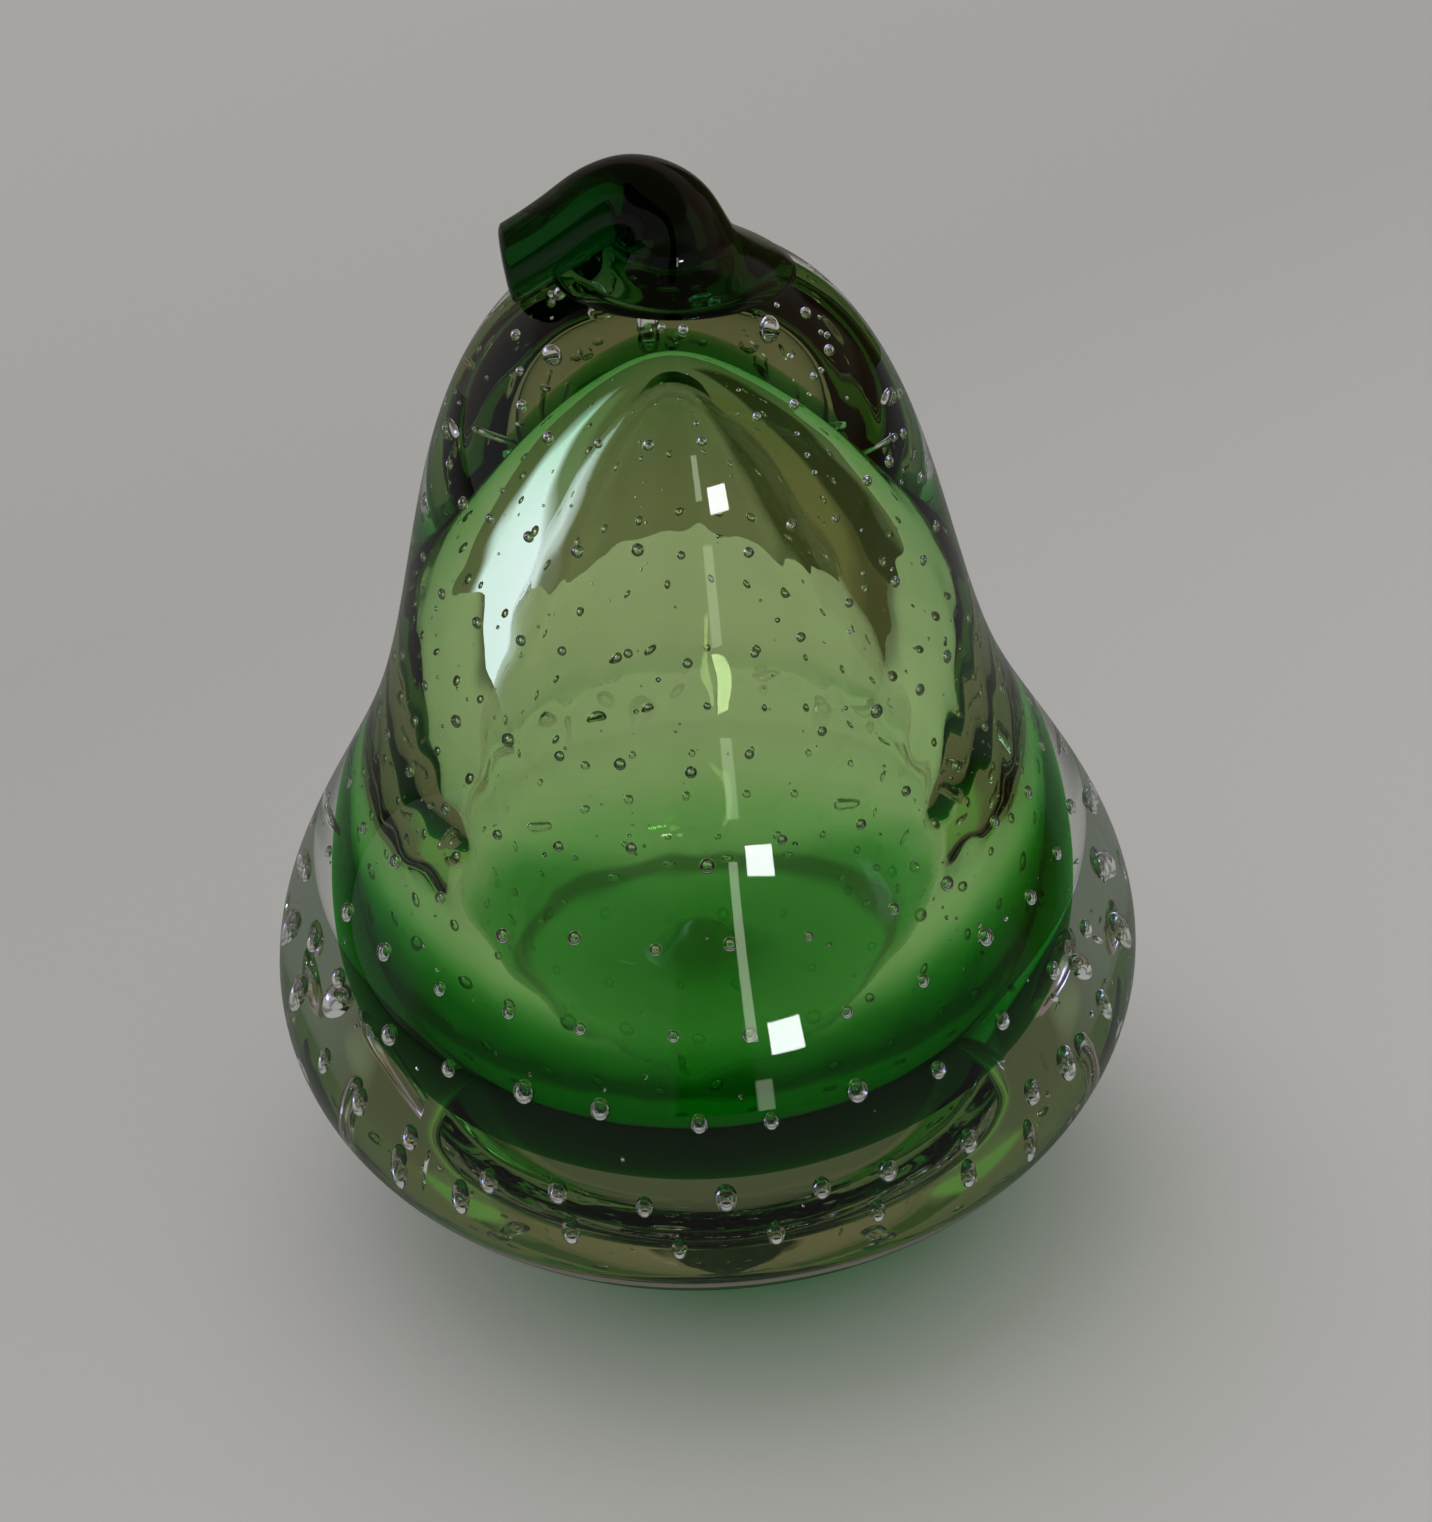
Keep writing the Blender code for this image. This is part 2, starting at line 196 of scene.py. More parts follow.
def kicked_up(curve):
    """The pocket's floor pushed up in the middle: half a wave of a cosine is added to it."""
    radius, height = curve.T
    wave = 0.5 * (1 + np.cos(np.pi * np.minimum(radius / KICK_RADIUS, 1)))
    return np.column_stack([radius, height + KICK_HEIGHT * wave * (height < FLOOR_UNDER)])


hollow = kicked_up(pocket)
print("floor's middle at", hollow[0, 1], "and its edge at", pocket[0, 1])

# %% A curve beside a curve


def moved_out(curve, distance):
    """The curve moved square to itself by a distance. Its ends stay on the axis."""
    slope = np.gradient(curve, axis=0)
    slope[[0, -1], 1] = 0
    outward = np.column_stack([slope[:, 1], -slope[:, 0]])
    moved = curve + distance * outward / np.linalg.norm(outward, axis=1)[:, None]
    moved[[0, -1], 0] = 0
    return moved


# %% [markdown]
# ## Small waves
# The pocket was blown, not cut, so its wall has waves too low to feel. Light that bounces off
# the wall shows them all the same: they break the edges of what it mirrors into small steps. A
# bump in the material could do it, but waves in the surface also bend the light that goes
# through. They are only some hundredths of a millimetre high.

# %% A turned surface with slow waves on it
WAVES, WAVE_HEIGHT = 24, 0.007
WAVES_ROUND, WAVES_UP = (6, 30), (-1.1, 1.1)


def waved(curve):
    """The surface turned from a curve, with waves on it. Each adds its small height times the
    sine of (its count x the angle + its pitch x the height + its start), and all of them fade
    towards the axis."""
    grid = turned(curve)
    hand = np.random.default_rng(11)
    swell = np.zeros(grid.shape[:2])
    for _ in range(WAVES):
        count, pitch = hand.integers(*WAVES_ROUND), hand.uniform(*WAVES_UP)
        start = hand.uniform(0, 2 * np.pi)
        swell += np.sin(count * ANGLE + pitch * curve[:, 1, None] + start)
    radius = curve[:, 0, None]
    fade = radius / radius.max()
    grid[..., :2] *= (1 + WAVE_HEIGHT * swell * fade / np.maximum(radius, 1))[..., None]
    return grid


# %% [markdown]
# ## Shader maths
# Node trees are easier to read as sums. This small class stands for one socket, and adding or
# multiplying two of them adds the Math node that does it.

# %% A socket that can be reckoned with


class Wire:
    """A socket of a node tree. Without a socket it is a bare tree to add nodes to."""

    def __init__(self, tree, socket=None):
        self.tree, self.socket = tree, socket

    def node(self, kind, settings=(), inputs=(), output=0):
        """Any node: its type, its settings, then the values or wires of its sockets."""
        made = self.tree.nodes.new(kind)
        for name, value in dict(settings).items():
            setattr(made, name, value)
        for name, value in dict(inputs).items():
            if isinstance(value, Wire):
                self.tree.links.new(value.socket, made.inputs[name])
            else:
                made.inputs[name].default_value = value
        return Wire(self.tree, made.outputs[output])

    def maths(self, operation, *values):
        return self.node("ShaderNodeMath", {"operation": operation},
                         dict(enumerate((self, *values))))

    def __add__(self, other):
        return self.maths("ADD", other)

    def __sub__(self, other):
        return self.maths("SUBTRACT", other)

    def __mul__(self, other):
        return self.maths("MULTIPLY", other)

    def __truediv__(self, other):
        return self.maths("DIVIDE", other)

    def __rsub__(self, other):
        return self.node("ShaderNodeMath", {"operation": "SUBTRACT"}, {0: other, 1: self})

    def clipped(self):
        """Never under 0 or over 1."""
        return self.node("ShaderNodeMath", {"operation": "ADD", "use_clamp": True},
                         {0: self, 1: 0.0})

    def between(self, low, high, edge):
        """1 from low to high, with soft edges this wide outside them."""
        rise = ((self - (low - edge)) / edge).clipped()
        fall = (((high + edge) - self) / edge).clipped()
        return rise * fall

    def blend(self, first, second):
        """A colour between two, by this wire as the factor."""
        made = self.tree.nodes.new("ShaderNodeMix")
        made.data_type = "RGBA"
        for index, value in ((0, self), (6, first), (7, second)):
            if isinstance(value, Wire):
                self.tree.links.new(value.socket, made.inputs[index])
            else:
                made.inputs[index].default_value = value
        return Wire(self.tree, made.outputs[2])


# %% What a shader can ask for


def along(tree, axis, place="Object"):
    """How far along an axis a point lies, or for the world how far along it a ray points."""
    where = tree.node("ShaderNodeTexCoord", output=place)
    return tree.node("ShaderNodeSeparateXYZ", (), {"Vector": where}, output=axis)


def light_ray(tree, question):
    """What a ray is, such as "Is Camera Ray", or how often it has turned."""
    return tree.node("ShaderNodeLightPath", output=question)


def new_material(name):
    """An empty material, as a bare tree and the socket that its surface goes to."""
    made = bpy.data.materials.new(name)
    made.use_nodes = True
    made.node_tree.nodes.clear()
    output = made.node_tree.nodes.new("ShaderNodeOutputMaterial")
    return made, Wire(made.node_tree), output


# %% [markdown]
# ## Glass
# Clear glass is a Principled shader with full transmission. A lamp's light would have to find
# its way through by chance, which is slow and speckled, so for shadow rays the glass is plainly
# see-through with a tint. Green glass is made by depth: its skin doesn't bend light at all,
# because it is fused to clear glass, and a volume inside it takes away red and blue.

# %% Glass as a material


def glass(name, ior, shadow, cast=None, absorbed=None):
    """A glass material. shadow is what a lamp's light keeps at each skin, cast works out what
    other light keeps at each pair of skins, and absorbed is the volume's colour and density."""
    made, tree, output = new_material(name)
    inputs = {"Base Color": cast(tree) if cast else (1, 1, 1, 1), "Roughness": 0.0,
              "IOR": ior, "Transmission Weight": 1.0}
    shader = tree.node("ShaderNodeBsdfPrincipled", (), inputs)
    shade = tree.node("ShaderNodeBsdfTransparent", (), {"Color": (*shadow, 1)})
    surface = tree.node("ShaderNodeMixShader", (), {0: light_ray(tree, "Is Shadow Ray"),
                                                    1: shader, 2: shade})
    made.node_tree.links.new(surface.socket, output.inputs["Surface"])
    if absorbed:
        colour, density = absorbed
        volume = tree.node("ShaderNodeVolumeAbsorption", (),
                           {"Color": (*colour, 1), "Density": density})
        made.node_tree.links.new(volume.socket, output.inputs["Volume"])
    made.diffuse_color = (0.3, 0.5, 0.25, 1)
    return made


clear_glass = glass("clear_glass_skin", 1.5, (0.84, 0.865, 0.84))

# %% [markdown]
# The green isn't even. Where it is blown thin it is yellowish, and at the bottom, where it
# pooled, it is a deep cold green. An absorbing volume has one colour all through, so the change
# is laid in the skin of the green glass, which light crosses on its way in and out.

# %% Green glass, darker where it pooled
POOL_LEVEL, POOL_EDGE = 0.0255, 0.006  # the deep green is full a soft edge below the level
POOL_TILT, POOL_SIDES = 0.25, 14.0  # it climbs to the front, and with the square of X
THIN_LEVEL, THIN_EDGE = 0.042, 0.016  # over the level the glass is thin and yellowish


def pooled(tree):
    """Two blends. The upper one's factor is (level - height) / edge, and the pool's is
    (level + sides x X squared - height - tilt x Y) / edge, each from 0 to 1."""
    height, back, side = along(tree, "Z"), along(tree, "Y"), along(tree, "X")
    thin = ((THIN_LEVEL - height) / THIN_EDGE).clipped()
    upper = thin.blend((1.0, 1.0, 0.74, 1), (0.78, 0.98, 0.56, 1))
    level = side * side * POOL_SIDES + POOL_LEVEL - height - back * POOL_TILT
    return (level / POOL_EDGE).clipped().blend(upper, (0.15, 0.60, 0.13, 1))


green_glass = glass("green_glass_depth", 1.0, (0.96, 1.0, 0.95), cast=pooled,
                    absorbed=((0.571, 0.857, 0.629), 640.0))

# %% [markdown]
# The stem is one bit of dark glass. Its foot and trunk are thick and chilled first, so they look
# nearly black, and its drawn-out arm lets green light through in streaks.

# %% Dark green glass, lighter in the arm
ARM_FROM, ARM_EDGE = 0.0008, 0.0045
STREAK_SCALE, STREAK_SHARE = 260.0, 0.5


def chilled(tree):
    """The factor is (start - X) / edge plus some noise, from 0 at the trunk to 1 in the arm."""
    place = tree.node("ShaderNodeTexCoord", output="Object")
    streaks = tree.node("ShaderNodeTexNoise", (), {"Vector": place, "Scale": STREAK_SCALE,
                                                   "Detail": 2.0})
    arm = (ARM_FROM - along(tree, "X")) / ARM_EDGE + (streaks - 0.5) * STREAK_SHARE
    return arm.clipped().blend((0.10, 0.30, 0.13, 1), (0.9, 1.0, 0.9, 1))


stem_glass = glass("dark_green_stem_glass", 1.5, (0.35, 0.5, 0.35), cast=chilled,
                   absorbed=((0.05, 0.66, 0.35), 1050.0))
print("glass:", [made.name for made in (clear_glass, green_glass, stem_glass)])

# %% [markdown]
# ## Bubbles
# The pits were pricked with a ring of points, so the bubbles stand in level rings, about two
# dozen to a ring, at the border of the two clear layers. Each is a small closed skin turned
# over, because it is a hollow. There are hundreds, so each has only a few dozen faces.

# %% A ball, and the same ball at many places


def ball(levels, turns):
    """A unit ball as a skin: the point at height cos t and angle a, for t from pole to pole."""
    t = np.linspace(np.pi, 0, levels + 1)[:, None]
    a = np.arange(turns) * 2 * np.pi / turns
    grid = np.stack([np.sin(t) * np.cos(a), np.sin(t) * np.sin(a),
                     np.cos(t) * np.ones(turns)], -1)
    return skin(grid)


def many_hollows(centres, sizes, levels, turns):
    """The same ball at many centres, as one set of corners and faces, turned over."""
    corners, groups = ball(levels, turns)
    count = len(centres)
    moved = centres[:, None, :] + corners * sizes[:, None, :]
    step = (np.arange(count) * len(corners))[:, None, None]
    faces = [(group[None] + step).reshape(-1, group.shape[1])[:, ::-1] for group in groups]
    return moved.reshape(-1, 3), faces


# %% The border of the two clear layers
GATHER_WALL = 4.2
border = moved_out(green, GATHER_WALL)


def on_border(height):
    """The border's radius at a height."""
    widest = int(np.argmax(border[:, 0]))
    low, high = border[:widest + 1], border[widest:]
    below = np.interp(height, low[:, 1], low[:, 0])
    above = np.interp(height, high[:, 1], high[:, 0])
    return np.where(height < border[widest, 1], below, above)


print("border's widest radius", border[:, 0].max())

# %% Rings of bubbles, each as its height, its count and the bubbles' radius
RINGS = [(14.3, 18, 0.8), (18.3, 25, 0.85), (27.0, 25, 0.95), (35.5, 25, 0.75),
         (44.0, 25, 0.65), (53.5, 25, 0.65), (62.5, 25, 0.6), (72.0, 24, 0.55),
         (81.0, 22, 0.5), (89.0, 16, 0.45), (95.0, 10, 0.45)]
ASTRAY = 0.12  # how far a bubble strays round its ring, as a share of its place there
UNLEVEL, UNEVEN = 0.45, 0.2  # how far it strays up or down, and in or out, in millimetres
TALLER = 1.08
random = np.random.default_rng(7)

rings = []
for height, count, size in RINGS:
    angle = (np.arange(count) + random.uniform(-ASTRAY, ASTRAY, count)) * 2 * np.pi / count
    level = height + random.normal(0, UNLEVEL, count)
    radius = on_border(level) + random.normal(0, UNEVEN, count)
    big = size * random.uniform(0.75, 1.2, count)
    # each ring starts at an angle of its own, here its height taken as radians
    rings.append(np.column_stack([radius * np.cos(angle + height),
                                  radius * np.sin(angle + height), level, big]))
bubbles = np.vstack(rings)
bubble_sizes = np.column_stack([bubbles[:, 3], bubbles[:, 3], bubbles[:, 3] * TALLER])
print(len(bubbles), "bubbles in", len(RINGS), "rings")

# %% Seeds, the smallest bubbles, anywhere in the clear layers
SEEDS = 260
angle = random.uniform(0, 2 * np.pi, SEEDS)
level = random.uniform(10, 92, SEEDS)
radius = on_border(level) + random.uniform(-0.8, 3.0, SEEDS)
seeds = np.column_stack([radius * np.cos(angle), radius * np.sin(angle), level])
seed_sizes = np.repeat(random.uniform(0.10, 0.28, SEEDS)[:, None], 3, 1)
print(SEEDS, "seeds, the largest with a radius of", seed_sizes.max())

# %% [markdown]
# ## The clear body
# The outside of the pear, the wall of the pocket and the bubbles are one closed body of glass
# here, as they are in the real thing once its layers have fused.

# %% Build the clear body
clear_body = put_in_mesh("clear_body", [
    skin(turned(pear)),
    turned_over(skin(waved(hollow))),
    many_hollows(bubbles[:, :3], bubble_sizes, 8, 12),
    many_hollows(seeds, seed_sizes, 4, 6),
], clear_glass)
clear_body.data.set_sharp_from_angle(angle=math.radians(35))  # the rim of the ground base
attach(clear_body, "root")
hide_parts("outer_casing", "bubble_gather")

# %% [markdown]
# ## The green glass
# It fills the space from just outside the pocket's wall to the green outline. A real fused
# border can't be seen, so a gap that light can't tell is left between its skin and the wall.

# %% Build the green shell
SKIN_GAP = 0.03
green_shell = put_in_mesh("green_lining", [
    skin(turned(green)),
    turned_over(skin(waved(moved_out(hollow, SKIN_GAP)))),
], green_glass)
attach(green_shell, "root")
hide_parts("green_shell")

# %% [markdown]
# ## The stem
# A gather of dark green glass is dropped on the crown, where it spreads into a thin foot. It is
# pulled up, bent over to the left and sheared off. It could be a bent tube on a disc, but then
# light would show the joint. Here rings run from the middle of the underside out to the foot's
# rim, back in up the flare, and along the arch to the cut end: one closed skin.

# %% The crown that the stem sits on
CROWN_FROM = 85
crown = pear_line[pear_line[:, 1] > CROWN_FROM]


def crown_height(radius):
    """The crown's height at a radius."""
    return np.interp(-radius, -crown[:, 0], crown[:, 1])


print("the crown's middle is at", crown_height(0.0))

# %% Rings for the foot, from its underside up its flare
FOOT_MIDDLE = 1.2
# radius, and how far the foot stands over the crown, from its rim in to the trunk
FLARE = [(11.75, -0.06), (11.2, 0.16), (10.2, 0.36), (8.4, 0.66), (6.9, 1.15), (6.05, 1.85),
         (5.7, 2.45)]
FOOT_RADIUS, FOOT_EDGE = FLARE[0]
UNDER_RINGS, FLARE_RINGS = 20, 26
SUNK, SUNK_WITHIN = 0.8, 2.5  # the hot foot melts this far into the crown, inside its rim
TRUNK_DEPTH = 1.32  # the trunk is deeper from front to back than it is wide
STEM_TURNS = 72
stem_angle = np.arange(STEM_TURNS) * 2 * np.pi / STEM_TURNS


def on_crown(radii, over):
    """Rings about the foot's middle. Each point stands over the crown by its ring's height. The
    rings go from round at the foot's rim to deep at the trunk."""
    depth = np.interp(radii, (FLARE[-1][0], FOOT_RADIUS), (TRUNK_DEPTH, 1.0))
    x = FOOT_MIDDLE + radii[:, None] * np.cos(stem_angle)
    y = (radii * depth)[:, None] * np.sin(stem_angle)
    return np.stack([x, y, crown_height(np.hypot(x, y)) + over[:, None]], -1)


low_radii = np.linspace(0, FOOT_RADIUS, UNDER_RINGS)
sinking = np.clip((FOOT_RADIUS - low_radii) / SUNK_WITHIN, 0, 1)
under = on_crown(low_radii, FOOT_EDGE - SUNK * sinking)
flare = evenly(smooth_curve(FLARE), FLARE_RINGS)[1:]
foot = on_crown(flare[:, 0], flare[:, 1])

# %% Rings carried along the arch, given as the middle of a ring and its radius
ARCH = [(1.2, 0.0, 107.0, 5.6), (0.7, 0.0, 108.0, 5.2), (-0.5, 0.0, 109.1, 4.75),
        (-2.8, -0.2, 110.2, 4.3), (-5.7, -0.6, 109.9, 3.95), (-8.4, -1.0, 108.5, 3.75),
        (-11.8, -1.4, 106.6, 3.65), (-14.6, -1.6, 105.1, 3.65)]
ARCH_RINGS = 60
LEVEL_RINGS, DEEP_RINGS = 14, 24  # this many rings lean over from level, or are still deep
arch = evenly(smooth_curve(ARCH), ARCH_RINGS)


def carried(path, thickness):
    """Rings carried along a path: each is square to the path, with one axis kept level. The
    first few lean over from level, so that they take up from the foot."""
    ahead = np.gradient(path, axis=0)
    ring = np.arange(len(path))
    level = np.clip(1 - ring / LEVEL_RINGS, 0, 1)[:, None] ** 1.5
    ahead = ahead / np.linalg.norm(ahead, axis=1)[:, None] * (1 - level) + (0, 0, 1) * level
    ahead /= np.linalg.norm(ahead, axis=1)[:, None]
    side = np.cross((0.0, -1.0, 0.0), ahead)
    side /= np.linalg.norm(side, axis=1)[:, None]
    depth = 1 + (TRUNK_DEPTH - 1) * np.clip(1 - ring / DEEP_RINGS, 0, 1)[:, None]
    up = np.cross(ahead, side) * depth
    return (path[:, None] + thickness[:, None, None]
            * (-np.cos(stem_angle)[:, None] * side[:, None]
               - np.sin(stem_angle)[:, None] * up[:, None]))


arm = carried(arch[:, :3], arch[:, 3])
print("arm starts at", arm[0, 0].round(2), arm[0, STEM_TURNS // 4].round(2), "foot ends at",
      foot[-1, 0].round(2), foot[-1, STEM_TURNS // 4].round(2))

# %% The slanting cut end, and the whole stem
SLANT, SLANT_FROM = 0.45, 42
# how far each closing ring draws in, as a share, and how far it stands out, in millimetres
CLOSING = np.array([0.97, 0.90, 0.78, 0.5, 0.22, 0.0])[:, None, None]
STANDING_OUT = np.array([0.18, 0.36, 0.48, 0.58, 0.62, 0.62])[:, None, None]

tip_way = (arch[-1, :3] - arch[-3, :3]) / np.linalg.norm(arch[-1, :3] - arch[-3, :3])
near_end = (np.arange(ARCH_RINGS) - SLANT_FROM) / (ARCH_RINGS - 1 - SLANT_FROM)
slant = np.clip(near_end, 0, 1) ** 1.5 * SLANT
arm = arm - ((arm - arch[:, None, :3])[..., 2] * slant[:, None])[..., None] * tip_way
middle = arm[-1].mean(axis=0)
end = middle + (arm[-1] - middle) * CLOSING + tip_way * STANDING_OUT
stem = put_in_mesh("dark_green_stem", [skin(np.concatenate([under, foot, arm, end]))], stem_glass)
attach(stem, "root")
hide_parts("stem")

# %% [markdown]
# ## The table
# The pear stands on a plain pale table. The camera sees it run on for ever, but the glass sees
# its far edge and the room behind it, as the real one does.
#
# Three things that the light of a real table does are too slow to wait for, so they are painted
# into the table's material and asked of the ray that comes down. The pear works like a lens and
# throws light under its base: a painted bright patch with a painted dim ring round it, which
# shows only through the glass, stands in for that light. Painted shade, for the pear's own shade,
# makes the table dim in what its skin mirrors. And light that has turned back inside the glass
# more than once finds a painted dim brown glow instead of the lit table.

# %% The table's sheet
TABLE_HALF, TABLE_DROP = 3, 0.0001  # it lies a hair under the base, in metres
table_mesh = bpy.data.meshes.new("table")
table_mesh.from_pydata([(x * TABLE_HALF, y * TABLE_HALF, -TABLE_DROP)
                        for x, y in ((-1, -1), (1, -1), (1, 1), (-1, 1))], [], [(0, 1, 2, 3)])
table = bpy.data.objects.new("table", table_mesh)
bpy.context.scene.collection.objects.link(table)

# %% Its plain matt paper, with painted light that makes it a little lighter to the front and the right
pale_paper, tree, table_output = new_material("pale_table")
place = tree.node("ShaderNodeTexCoord", output="Object")
side, across = along(tree, "X"), along(tree, "Y")
grain = tree.node("ShaderNodeTexNoise", (), {"Vector": place, "Scale": 900.0})
speckled = grain.blend((0.418, 0.407, 0.396, 1), (0.432, 0.421, 0.410, 1))
# painted light: the paper's colour is lighter to the front and the right and darker to the far
# left, as light falls on the table, not a change in the paper
painted_light_drift = ((side * 0.75 - across) * 3.0 + 0.55).clipped()
painted_light_gradient = painted_light_drift.blend((0.90, 0.90, 0.90, 1), (1.24, 1.24, 1.24, 1))
painted_light_paper = tree.node("ShaderNodeVectorMath", {"operation": "MULTIPLY"},
                         {0: speckled, 1: painted_light_gradient})
matt = tree.node("ShaderNodeBsdfDiffuse", (), {"Color": painted_light_paper})


def laid_over(factor, below, colour):
    """A shader with a plain shining colour over it, by a factor: painted light, or painted shade
    where the colour is black.
    """
    shining = tree.node("ShaderNodeEmission", (), {"Color": colour})
    return tree.node("ShaderNodeMixShader", (), {0: factor, 1: below, 2: shining})


# %% Painted light under the pear, painted shade where the table is mirrored, and a painted glow for light that went a long way
SPOT_RADIUS, RING_RADIUS, SPOT_EDGE = 0.036, 0.045, 0.004
SHADE = 0.6
DARK_BROWN, PALE_BROWN = (0.060, 0.070, 0.028, 1), (0.20, 0.125, 0.13, 1)
TURNS_LEFT_OUT = 1  # light is brown that turned back more often than this
SKINS_LEFT_OUT = 5  # and paler where it went through more skins than this, so the pocket too

away = (side * side + across * across).maths("SQRT")
through_glass = light_ray(tree, "Is Transmission Ray")
# painted light: inside the inner radius the table shines as if lit by light the pear focuses, with
# a painted dim ring out to the outer radius; only rays through the glass see it
painted_light_spot = ((SPOT_RADIUS - away) / SPOT_EDGE).clipped()
painted_light_spot = painted_light_spot.blend((0.15, 0.16, 0.14, 1), (0.37, 0.375, 0.36, 1))
painted_spot_mask = ((RING_RADIUS - away) / SPOT_EDGE).clipped() * through_glass
matt = laid_over(painted_spot_mask, matt, painted_light_spot)
# painted shade: what the glass's skin mirrors of the table is darkened by SHADE. A ray that leaves
# smooth glass counts as glossy too, so the painted shade is kept to the rest of those
painted_mirror_shade = light_ray(tree, "Is Glossy Ray") * (1 - through_glass) * SHADE
matt = laid_over(painted_mirror_shade, matt, (0.0, 0.0, 0.0, 1))
# painted dim light: light that turned back inside the glass more than once sees a plain brown glow
# instead of the lit table, a paler one where it crossed more skins
long_way = (light_ray(tree, "Glossy Depth") - TURNS_LEFT_OUT).clipped()
far_through = (light_ray(tree, "Transmission Depth") - SKINS_LEFT_OUT).clipped()
matt = laid_over(long_way, matt, far_through.blend(DARK_BROWN, PALE_BROWN))

# %% The table's far edge, which only the glass sees
TABLE_EDGE, EDGE_SOFT = 0.285, 0.002
CORNER, CORNER_SLOPE = 0.10, 0.9  # to the sides the edge runs away from the pear
gone = tree.node("ShaderNodeBsdfTransparent")
corner = (side.maths("ABSOLUTE") - CORNER).maths("MAXIMUM", 0.0) * CORNER_SLOPE
beyond = ((across - corner - TABLE_EDGE) / EDGE_SOFT).clipped()
surface = tree.node("ShaderNodeMixShader", (), {0: beyond * (1 - light_ray(tree, "Is Camera Ray")),
                                                1: matt, 2: gone})
pale_paper.node_tree.links.new(surface.socket, table_output.inputs["Surface"])
table_mesh.materials.append(pale_paper)
print("table edge", TABLE_EDGE, "m behind the pear")

# %% [markdown]
# ## The room
# Glass shows the room it stands in. It could be modelled wall by wall. Here it is a set of soft
# areas by direction, because nothing of it is seen but its image in the glass. Light that turned
# back inside the glass finds the room dim and brown. The camera itself sees a plain pale
# backdrop, and matt surfaces get a plain soft light.

# %% Directions in the room
world = bpy.data.worlds.new("room")
bpy.context.scene.world = world
world.use_nodes = True
world.node_tree.nodes.clear()
tree = Wire(world.node_tree)
room_output = world.node_tree.nodes.new("ShaderNodeOutputWorld")
east, north, high = (along(tree, axis, "Generated") for axis in "XYZ")
DEGREES = 180 / math.pi
bearing = east.maths("ARCTAN2", north) * DEGREES  # 0 straight away from the camera
turned_bearing = (east * -1).maths("ARCTAN2", north * -1) * DEGREES  # 0 at the camera's back
rise = high.maths("ARCSINE") * DEGREES

# %% Areas, each a span of bearings, a span of rises, the width of its soft edge, and its light
BEHIND = [  # 0 is at the camera's back, minus is to its right
    ((-150, 150), (-30, 36), 8, (0.11, 0.13, 0.10)),  # the near half of the room
    ((-9, 9), (-4, 70), 2, (0.004, 0.008, 0.004)),  # a dark upright
    ((-13.5, -10), (-2, 9), 0.6, (2.6, 3.0, 2.2)),  # a strip of light beside it, low down
    ((-11.6, -9), (19, 31), 0.3, (4.5, 5.0, 3.8)),  # and high up
    ((-23.5, -15), (15.5, 21.5), 0.4, (22, 23, 23)),  # a pane of window
    ((98, 106), (17, 28), 1.5, (20, 21, 20)),  # a small window at the side
]
AHEAD = [  # 0 is straight away from the camera, minus is to the left
    ((-95, 95), (-30, 42), 8, (0.17, 0.145, 0.125)),  # the far half of the room
    ((20, 44), (-30, 20), 5, (0.036, 0.032, 0.012)),  # a dark corner
    ((47, 85), (-30, 7), 4, (0.085, 0.065, 0.034)),  # brown wood, low on the right
    ((47, 85), (9, 42), 5, (0.17, 0.13, 0.08)),  # and a tan wall over it
    ((-56, -38), (-20, 28), 6, (0.25, 0.24, 0.22)),  # a pale wall on the left
    ((-92, -58), (-20, 28), 6, (0.24, 0.25, 0.25)),
    ((88, 112), (24, 40), 4, (0.20, 0.26, 0.13)),  # green light on both sides, high up
    ((-112, -88), (24, 40), 4, (0.20, 0.26, 0.13)),
]
CEILING = (0.058, 0.068, 0.030, 1)  # and wherever no area lies
colour = CEILING
for centre, areas in ((turned_bearing, BEHIND), (bearing, AHEAD)):
    for (left, right), (low, up), edge, light in areas:
        patch = centre.between(left, right, edge) * rise.between(low, up, edge)
        colour = patch.blend(colour, (*light, 1))
print(len(BEHIND) + len(AHEAD), "areas in the room")

# %% A far window that only shows through the glass
through_glass = light_ray(tree, "Is Transmission Ray")
far_window = bearing.between(-71, -36, 10) * rise.between(-4, 15, 6) * through_glass
colour = far_window.blend(colour, (1.25, 1.12, 2.5, 1))

# %% The room after light has turned back inside the glass
ROOM_BROWN, GREEN_DEPTH = (0.066, 0.072, 0.030, 1), (0.045, 0.125, 0.025, 1)
UPRIGHT = (0.003, 0.007, 0.003, 1)
turned_back = light_ray(tree, "Glossy Depth")
far_through = (light_ray(tree, "Transmission Depth") - SKINS_LEFT_OUT).clipped()
brown = far_through.blend(ROOM_BROWN, PALE_BROWN)
brown = (turned_back - 5).clipped().blend(brown, GREEN_DEPTH)
upright = turned_bearing.between(-11, 11, 2).maths("MAXIMUM", bearing.between(-11, 11, 2))
brown = upright.blend(brown, UPRIGHT)
long_way = (turned_back - TURNS_LEFT_OUT).clipped() * turned_bearing.between(-66, 66, 6)
colour = long_way.blend(colour, brown)

# %% What matt surfaces and the camera get
SOFT_LIGHT, BACKDROP = (0.33, 0.327, 0.32, 1), (0.402, 0.394, 0.383, 1)
seen = light_ray(tree, "Is Glossy Ray").maths("MAXIMUM", through_glass)
colour = seen.blend(SOFT_LIGHT, colour)
colour = light_ray(tree, "Is Camera Ray").blend(colour, BACKDROP)
background = tree.node("ShaderNodeBackground", (), {"Color": colour, "Strength": 1.0})
world.node_tree.links.new(background.socket, room_output.inputs["Surface"])

# %% [markdown]
# ## The lamp
# The photograph's light comes from above and behind, so the shadow falls towards the camera,
# wide and soft. One large area lamp does that. The glass doesn't show it, because the real one
# shows windows instead, and those are in the room.

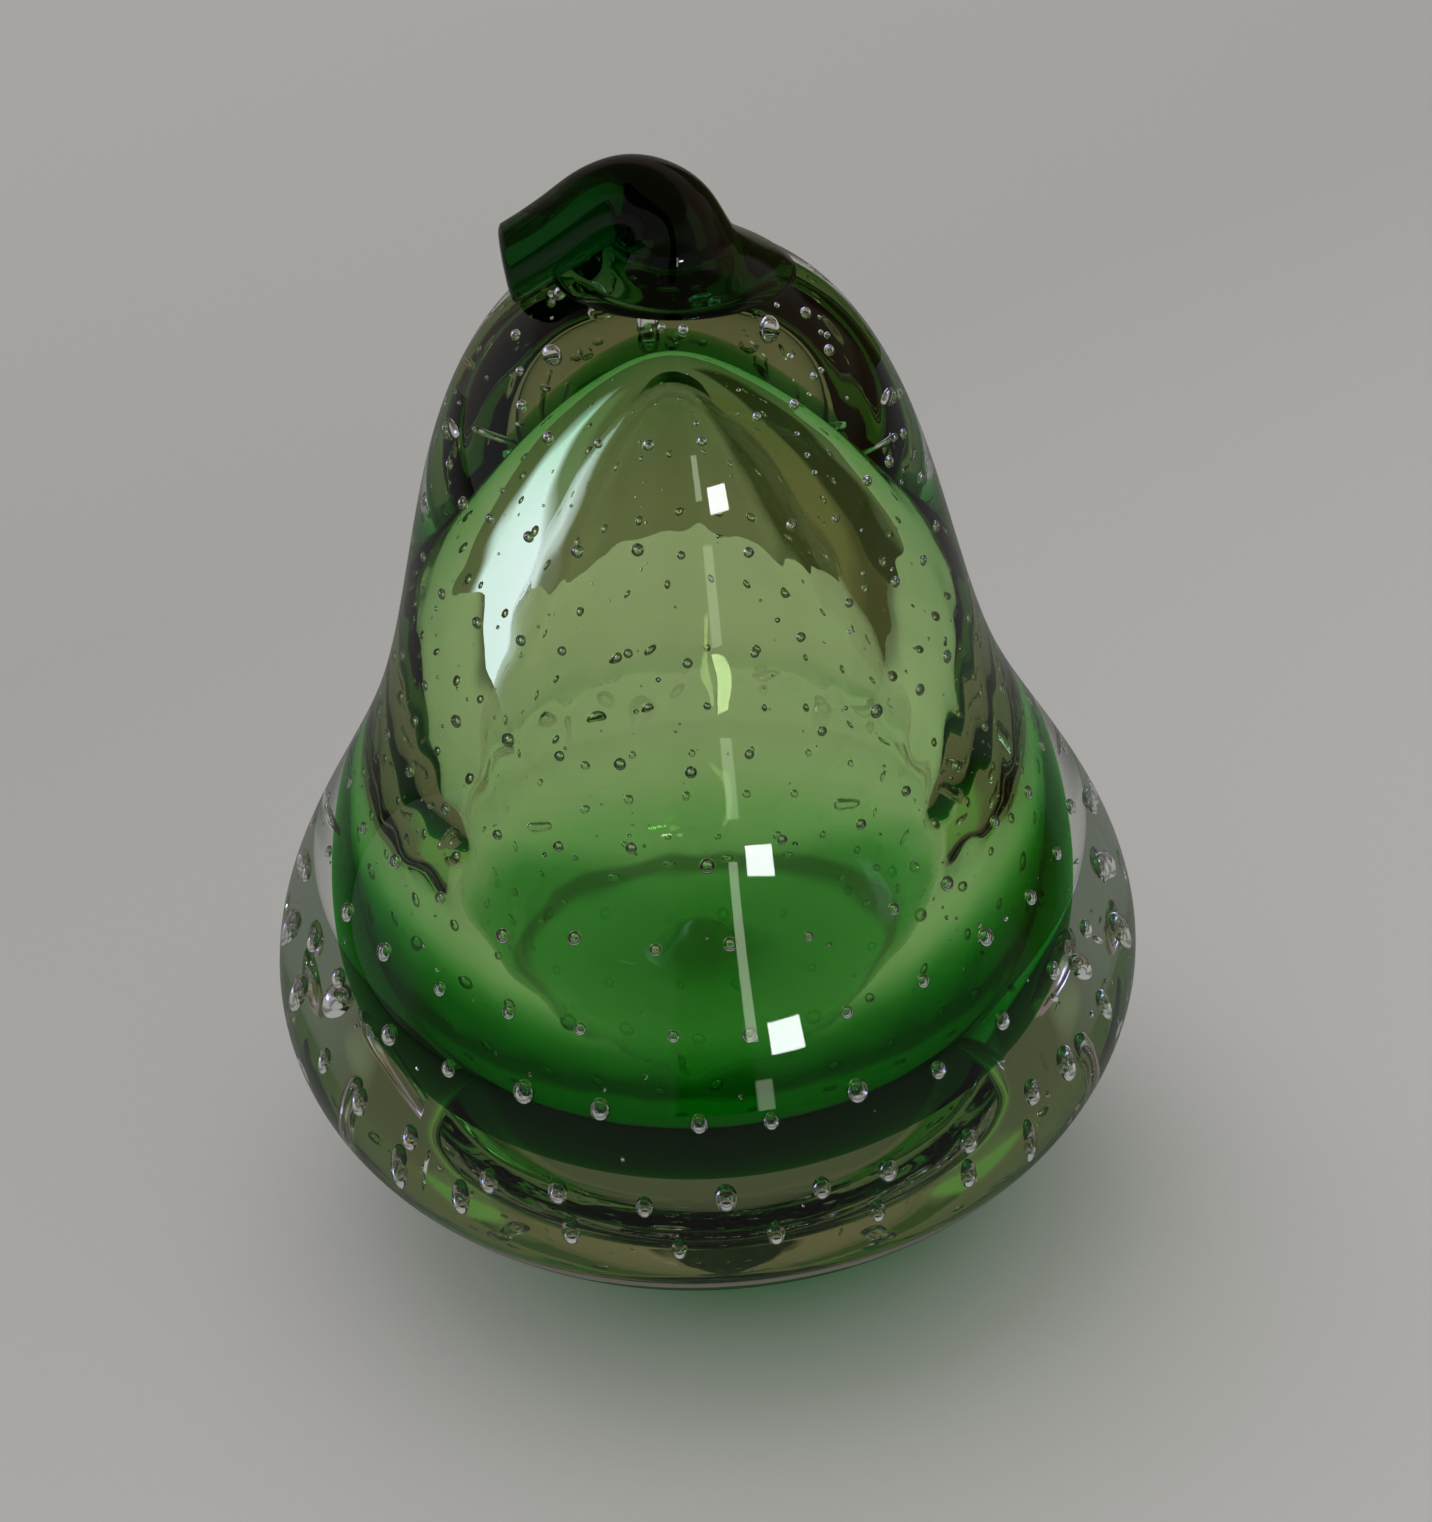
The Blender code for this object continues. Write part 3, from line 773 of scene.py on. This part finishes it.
# %% A soft key lamp, high behind the pear and a little to the left
LAMP_SIDE, LAMP_POWER = 1.3, 14.0
lamp = bpy.data.lights.new("key", "AREA")
lamp.shape, lamp.size, lamp.size_y, lamp.energy = "RECTANGLE", LAMP_SIDE, LAMP_SIDE, LAMP_POWER
key = bpy.data.objects.new("key", lamp)
bpy.context.scene.collection.objects.link(key)
key.location = (-0.2, 0.48, 1.2)
key.rotation_euler = (Vector((0, 0, 0)) - key.location).to_track_quat("-Z", "Y").to_euler()
key.visible_glossy = False
key.visible_transmission = False

# %% [markdown]
# ## The camera
# It looks down at the pear by thirty degrees, with a small roll. The angle, the distance and the
# roll were fitted to the pear's outline and its base in the photograph.

# %% Place the camera
VIEW_DOWN = math.radians(30)
VIEW_FROM, AIM_HEIGHT = 0.420, 0.05
ROLL = -0.0674
FRAME_PIXELS, FOCAL_PIXELS = 1432, 4078.0
SHIFT_PIXELS = (22.5, -20.1)
lens = bpy.data.cameras.new("camera")
lens.sensor_fit, lens.sensor_width = "HORIZONTAL", 36.0
lens.lens = FOCAL_PIXELS / FRAME_PIXELS * lens.sensor_width
lens.shift_x, lens.shift_y = (pixels / FRAME_PIXELS for pixels in SHIFT_PIXELS)
lens.clip_start = 0.01
camera = bpy.data.objects.new("camera", lens)
bpy.context.scene.collection.objects.link(camera)
ahead = Vector((0, math.cos(VIEW_DOWN), -math.sin(VIEW_DOWN)))
level, upward = Vector((1, 0, 0)), Vector((0, math.sin(VIEW_DOWN), math.cos(VIEW_DOWN)))
across = level * math.cos(ROLL) + upward * math.sin(ROLL)
upright = upward * math.cos(ROLL) - level * math.sin(ROLL)
placed = Matrix((across, upright, -ahead)).transposed().to_4x4()
placed.translation = -VIEW_FROM * ahead + Vector((0, 0, AIM_HEIGHT))
camera.matrix_world = placed
bpy.context.scene.camera = camera
print("camera at", camera.matrix_world.translation)

# %% [markdown]
# ## Light's longest way
# Light turns many times between the skins of a pear and its bubbles. With too few bounces the
# glass goes black at its edges. Plain colours, with no film look, keep the greens as written.

# %% Bounces and the view transform
scene = bpy.context.scene
scene.view_settings.view_transform = "Standard"
cycles = scene.cycles
cycles.max_bounces = cycles.transmission_bounces = cycles.glossy_bounces = 16
cycles.transparent_max_bounces = 32
cycles.diffuse_bounces, cycles.volume_bounces = 3, 0
cycles.caustics_reflective = cycles.caustics_refractive = False
